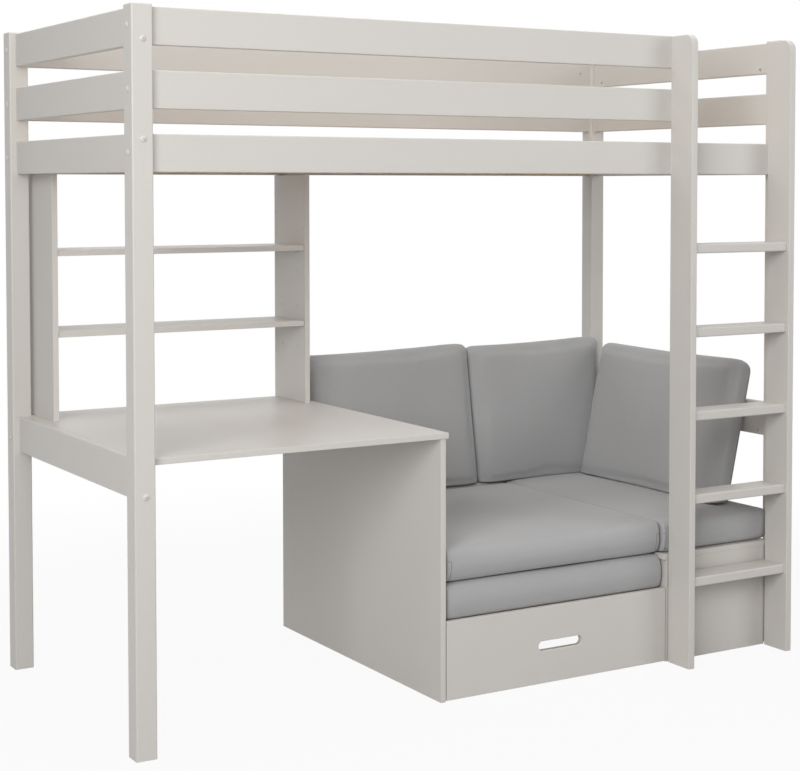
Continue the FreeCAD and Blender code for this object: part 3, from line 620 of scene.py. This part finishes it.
# %% [markdown]
# ## The seat pads, the infill pad and the cushions
#
# The two seat pads are firm and lie folded on each other, so they keep flat faces, and only the edges
# that meet in the fold are pulled in. The back and arm cushions are softer and lean on the rails. Their
# foam fills the foot and the upper corners, where a smoothed block would come out too round. The arm
# cushion is pulled in where it meets the back cushion.

# %% Seat pads and cushions
UP = Vector((0, 0, 1))
DOWN = -UP
RIGHT = Vector((1, 0, 0))
BACK = Vector((0, 1, 0))
LEAN_BACK = math.radians(7.5)
LEAN_SIDE = math.radians(12.5)
TO_FRONT = Vector((0, -math.cos(LEAN_BACK), math.sin(LEAN_BACK)))
TO_LEFT = Vector((-math.cos(LEAN_SIDE), 0, math.sin(LEAN_SIDE)))
PAD_CORNER = 0.005
FOLD_GROOVE = 0.004
PAD_SOFT = 7
INFILL_RISE = 0.002
FOOT = 0.009
EAR = 0.008
TOP_FILL = 0.0015
ARM_GROOVE = 0.012
CUSHION_SOFT = 12
CUSHION_RISE = 0.006


def pad(node, name, body, rise, corners):
    """A seat pad, which is free at its top."""
    return stuffed(node, name, body, UP, rise, corners, PAD_SOFT)


def cushion(node, name, free, corners):
    """A loose cushion on the bed, with the side that is leant against free."""
    return stuffed(node, name, "bed", free, CUSHION_RISE, corners, CUSHION_SOFT)


fold_edge = [(-BACK, UP, -FOLD_GROOVE)]
pad_ends = [(RIGHT, UP, PAD_CORNER), (-RIGHT, UP, PAD_CORNER), (-BACK, DOWN, -FOLD_GROOVE)]
back_corners = [(TO_FRONT, DOWN, FOOT), (RIGHT, UP, EAR), (-RIGHT, UP, EAR), (UP, UP, TOP_FILL)]
right_corners = back_corners + [(RIGHT, UP, EAR / 2)]
arm_corners = [
    (TO_LEFT, DOWN, FOOT),
    (BACK, UP, EAR),
    (UP, UP, 2 * TOP_FILL),
    (TO_LEFT, BACK, -ARM_GROOVE),
]
pad("seat_pad_lower", "lower_pad", "bed", 0.0, fold_edge)
seat_upper = pad("seat_pad_upper", "upper_pad", "upper_pad", 0.0, pad_ends)
infill = pad("infill_pad", "infill_cushion", "bed", INFILL_RISE, pad_ends)
back_left = cushion("back_cushion_left", "left_back_cushion", TO_FRONT, back_corners)
back_right = cushion("back_cushion_right", "right_back_cushion", TO_FRONT, right_corners)
arm = cushion("arm_cushion", "side_cushion", TO_LEFT, arm_corners)

# %% [markdown]
# ## Seams
#
# A cushion's cover wraps round its front and is sewn to a back panel near the back edge. Cutting the
# finished mesh with a plane gives that seam's line. The seam pulls the cloth in a little, so points
# near the line sink, and the sewn edge itself is a thin thread laid in the groove. The upper seat pad
# and the infill pad have end panels that come round the front corners, with a seam shaped like an
# upside-down L.

# %% Lines for seams
SEAM_STEP = 0.005


def cut_line(piece, middle, across):
    """The line where a plane cuts a piece, as points in order."""
    shape = bmesh.new()
    shape.from_mesh(piece.data)
    everything = shape.verts[:] + shape.edges[:] + shape.faces[:]
    cut = bmesh.ops.bisect_plane(shape, geom=everything, plane_co=middle, plane_no=across)
    found = [part for part in cut["geom_cut"] if isinstance(part, bmesh.types.BMEdge)]
    edges = set(found)
    vertex = found[0].verts[0]
    line = []
    while True:
        line.append(vertex.co.copy())
        ahead = [edge for edge in vertex.link_edges if edge in edges]
        if not ahead:
            break
        edges.discard(ahead[0])
        vertex = ahead[0].other_vert(vertex)
    shape.free()
    return line


def spaced(line):
    """Points along a line, a step apart."""
    points = [line[0]]
    for place in line[1:]:
        if (place - points[-1]).length >= SEAM_STEP:
            points.append(place)
    return points


# %% Sewing a seam
SEAM_REACH = 0.009
SEAM_DEPTH = 0.0022
THREAD_RADIUS = 0.0011
THREAD_SUNK = 0.6


def sewn_thread(name, points, closed):
    """The mesh of a round thread along some points."""
    curve = bpy.data.curves.new(name, "CURVE")
    curve.dimensions = "3D"
    curve.bevel_depth = THREAD_RADIUS
    curve.bevel_resolution = 2
    spline = curve.splines.new("POLY")
    spline.points.add(len(points) - 1)
    for point, place in zip(spline.points, points):
        point.co = (*place, 1)
    spline.use_cyclic_u = closed
    holder = bpy.data.objects.new(name, curve)
    mesh = evaluated_mesh(holder)
    bpy.data.objects.remove(holder)
    mesh.shade_smooth()
    mesh.materials.clear()
    mesh.materials.append(thread)
    return mesh


def seam(piece, line, name, body, closed):
    """Sinks a piece's surface along a line, and lays a thread in the groove."""
    points = spaced(line)
    tree = nearest(points)
    outward = [vertex.normal.copy() for vertex in piece.data.vertices]
    for vertex, normal in zip(piece.data.vertices, outward):
        distance = tree.find(vertex.co)[2]
        if distance < SEAM_REACH:
            vertex.co -= normal * SEAM_DEPTH * (1 - distance / SEAM_REACH) ** 2
    surface = nearest([vertex.co for vertex in piece.data.vertices])
    normals = [outward[surface.find(place)[1]] for place in points]
    sunk = [place - normal * SEAM_DEPTH * THREAD_SUNK for place, normal in zip(points, normals)]
    sewn = bpy.data.objects.new(name, sewn_thread(name, sunk, closed))
    scene.collection.objects.link(sewn)
    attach(sewn, body)


# %% Seams round the cushions
BACK_SEAM_SHARE = 0.22


def seam_round(piece, free):
    """The seam round a cushion, a share of its thickness from the back."""
    depths = [vertex.co.dot(free) for vertex in piece.data.vertices]
    depth = min(depths) + BACK_SEAM_SHARE * (max(depths) - min(depths))
    seam(piece, cut_line(piece, free * depth, free), piece.name + "_seam", "bed", True)


for piece, free in ((back_left, TO_FRONT), (back_right, TO_FRONT), (arm, TO_LEFT)):
    seam_round(piece, free)
print("cushion seams ready")

# %% Seams of the end panels
PANEL_TOP = 0.376
PANEL_FOOT = 0.006
PANEL_END = 0.003
UPPER_PAD_PANEL = 0.015
INFILL_PANEL = 0.011
STEPS_UP = 24
STEPS_ALONG = 6
IN_FRONT = -1.0


def panel_line(surface, outer, inner, low):
    """An upside-down L on a pad's front: up from the foot, then along to the pad's end."""
    tall = PANEL_TOP - low
    wide = outer - inner
    line = [(inner, low + tall * step / STEPS_UP) for step in range(STEPS_UP + 1)]
    line += [(inner + wide * step / STEPS_ALONG, PANEL_TOP) for step in range(1, STEPS_ALONG + 1)]
    hits = [surface.ray_cast(Vector((x, IN_FRONT, z)), BACK)[0] for x, z in line]
    return [hit for hit in hits if hit]


def end_panels(piece, body, inset):
    """The seams of the two end panels of a pad."""
    xs = [vertex.co.x for vertex in piece.data.vertices]
    low = min(vertex.co.z for vertex in piece.data.vertices) + PANEL_FOOT
    for side, end, inward in (("left", min(xs), 1), ("right", max(xs), -1)):
        graph = bpy.context.evaluated_depsgraph_get()
        surface = BVHTree.FromObject(piece, graph)
        line = panel_line(surface, end + inward * PANEL_END, end + inward * inset, low)
        seam(piece, line, f"{piece.name}_{side}_seam", body, False)


end_panels(seat_upper, "upper_pad", UPPER_PAD_PANEL)
end_panels(infill, "bed", INFILL_PANEL)
print("end panel seams ready")

# %% [markdown]
# ## The pads' hinge strip and the slat tapes
#
# A cloth strip sewn between the two seat pads lets the upper one unfold. It lies in the fold, so it is
# a narrow woven band. Its dark grey is painted shade, standing in for the shadow deep in the fold. The
# berth's slats are spaced by two woven tapes, which sag a little between them. A simulation would show
# no more than that at this size, so the sag is a plain wave.

# %% Bands
BAND_ROWS = 4
COLUMNS_PER_WAVE = 12
DOME_SHARE = 0.5


def band_mesh(name, low, high, thick, sag, waves):
    """A sheet along X with a slightly domed back and a sag between its holds."""
    columns = COLUMNS_PER_WAVE * max(waves, 1)
    shape = bmesh.new()
    grid = []
    for column in range(columns + 1):
        share = column / columns
        x = low.x + (high.x - low.x) * share
        dip = sag * (math.cos(2 * math.pi * waves * share) - 1) / 2
        row = []
        for line in range(BAND_ROWS + 1):
            across = line / BAND_ROWS
            dome = thick * DOME_SHARE * math.sin(math.pi * across)
            y = low.y + (high.y - low.y) * across
            row.append(shape.verts.new((x, y, low.z + dip + dome)))
        grid.append(row)
    for first, second in zip(grid, grid[1:]):
        for line in range(BAND_ROWS):
            shape.faces.new((first[line], second[line], second[line + 1], first[line + 1]))
    mesh = bpy.data.meshes.new(name)
    shape.to_mesh(mesh)
    shape.free()
    return mesh


def band(node, name, low, high, thick, sag, waves, finish):
    """A woven band on the bed in place of a CAD node."""
    piece = bpy.data.objects.new(name, band_mesh(name, low, high, thick, sag, waves))
    scene.collection.objects.link(piece)
    solid = piece.modifiers.new("thickness", "SOLIDIFY")
    solid.thickness = thick
    bake_modifiers(piece)
    piece.data.shade_smooth()
    piece.data.materials.append(finish)
    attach(piece, "bed")
    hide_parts(node)
    print(f"{name}: {high.x - low.x:.2f} m long")


# %% The strip in the fold
STRIP_INSET = 0.004
STRIP_BEHIND_FRONT = 0.030
STRIP_THICK = 0.0004

fold_low, fold_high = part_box("pad_hinge_strip")
fold_middle = (fold_low.z + fold_high.z) / 2
strip_low = Vector((fold_low.x + STRIP_INSET, fold_low.y + STRIP_BEHIND_FRONT, fold_middle))
strip_high = Vector((fold_high.x - STRIP_INSET, fold_high.y, fold_middle))
# The strip carries the dark painted-shade finish, so the fold reads as a dark line.
band(
    "pad_hinge_strip", "pad_hinge_band", strip_low, strip_high,
    STRIP_THICK, 0.0, 0, fold_shade_strip,
)

# %% The slat tapes
TAPE_WIDE = 0.025
TAPE_THICK = 0.0012
TAPE_SAG = 0.004
SLAT_SPACES = 13

tapes_low, tapes_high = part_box("slat_tapes")
front_high = Vector((tapes_high.x, tapes_low.y + TAPE_WIDE, tapes_high.z))
back_low = Vector((tapes_low.x, tapes_high.y - TAPE_WIDE, tapes_low.z))
for name, low, high in (
    ("front_slat_tape", tapes_low, front_high),
    ("back_slat_tape", back_low, tapes_high),
):
    band("slat_tapes", name, low, high, TAPE_THICK, TAPE_SAG, SLAT_SPACES, webbing)

# %% [markdown]
# ## The studio
#
# The picture has a plain white ground. A white floor under lamps would need so much light that the
# paint washes out, so the floor is plain grey paint to the light, and nearly all glow to the camera.
# The bed's shadow still shows in the share that is paint, which fades out further off. The world does
# the same: soft grey light for the bed, white to look at.

# %% Floor
FLOOR_SIZE = 60.0
FLOOR_NEAR = 1.6
FLOOR_FAR = 3.4
GLOW_NEAR = 0.93
GLOW_FAR = 1.0
FLOOR_GREY = (0.50, 0.50, 0.50, 1.0)
WHITE = (1.0, 1.0, 1.0, 1.0)


def looked_at(tree):
    """1 where the camera looks, straight, in a mirror or through glass, and 0 for other light."""
    rays = ("Is Camera Ray", "Is Glossy Ray", "Is Transmission Ray")
    seen, mirrored, through = Wire.make(tree, "ShaderNodeLightPath", {}, {}, *rays)
    return seen.math("MAXIMUM", seen, mirrored.math("MAXIMUM", mirrored, through))


half = FLOOR_SIZE / 2
floor_mesh = bpy.data.meshes.new("floor")
corners = [(-half, -half, 0), (half, -half, 0), (half, half, 0), (-half, half, 0)]
floor_mesh.from_pydata(corners, [], [(0, 1, 2, 3)])
floor = bpy.data.objects.new("floor", floor_mesh)
scene.collection.objects.link(floor)

material, tree = new_tree("floor")
x, y = split(place_on_object(tree))[:2]
limits = {
    "Value": (x * x + y * y) ** 0.5,
    "From Min": FLOOR_NEAR,
    "From Max": FLOOR_FAR,
    "To Min": GLOW_NEAR,
    "To Max": GLOW_FAR,
}
share = Wire.make(tree, "ShaderNodeMapRange", {"interpolation_type": "SMOOTHSTEP"}, limits)
matte = Wire.make(tree, "ShaderNodeBsdfDiffuse", {}, {"Color": FLOOR_GREY})
glow = Wire.make(tree, "ShaderNodeEmission", {}, {"Color": WHITE, "Strength": 1.0})
mixed = Wire.make(tree, "ShaderNodeMixShader", {}, {0: looked_at(tree) * share, 1: matte, 2: glow})
Wire.make(tree, "ShaderNodeOutputMaterial", {}, {"Surface": mixed})
floor_mesh.materials.append(material)
print(f"floor white from {FLOOR_FAR} m out")

# %% World
SKY = 0.20

world = bpy.data.worlds.new("studio")
world.use_nodes = True
scene.world = world
tree = world.node_tree
tree.nodes.clear()
strength = SKY + (1.0 - SKY) * looked_at(tree)
sky = Wire.make(tree, "ShaderNodeBackground", {}, {"Color": WHITE, "Strength": strength})
Wire.make(tree, "ShaderNodeOutputWorld", {}, {"Surface": sky})
print(f"sky {SKY} for the bed, white to look at")

# %% [markdown]
# ## The lamps
#
# Large square lamps give soft studio light. The key lamp stands at the front left, and others open the
# shadows from above, in front and at the right. One behind the bed lights the tops and far sides. The
# paint would mirror that one as a glare on the shelves and the desk, so reflections leave it out.

# %% Lamps
BED_MIDDLE = Vector((0.0, 0.0, 0.7))


def softbox(name, place, size, power, mirrored=True):
    """A large square lamp turned towards the bed, which the paint may or may not mirror."""
    lamp = bpy.data.lights.new(name, "AREA")
    lamp.size = size
    lamp.energy = power
    holder = bpy.data.objects.new(name, lamp)
    holder.location = place
    holder.rotation_euler = (BED_MIDDLE - Vector(place)).to_track_quat("-Z", "Y").to_euler()
    holder.visible_camera = False
    holder.visible_glossy = mirrored
    scene.collection.objects.link(holder)
    print(f"{name}: {power} W")


softbox("key", (-4.2, -3.8, 2.6), size=2.6, power=162)
softbox("overhead", (0.0, 0.0, 5.0), size=4.0, power=122)
softbox("front", (-2.0, -4.2, 3.4), size=2.4, power=34)
softbox("right_fill", (3.5, -4.5, 2.5), size=2.6, power=64)
softbox("back", (0.0, 4.5, 2.5), size=2.6, power=60, mirrored=False)

# %% [markdown]
# ## Close the lesson
# The render keeps colours as they are written, with the standard view transform.
# The visual model has to stay in the CAD model's box, so both boxes are written out for comparison.

# %% View transform
scene.view_settings.view_transform = "Standard"
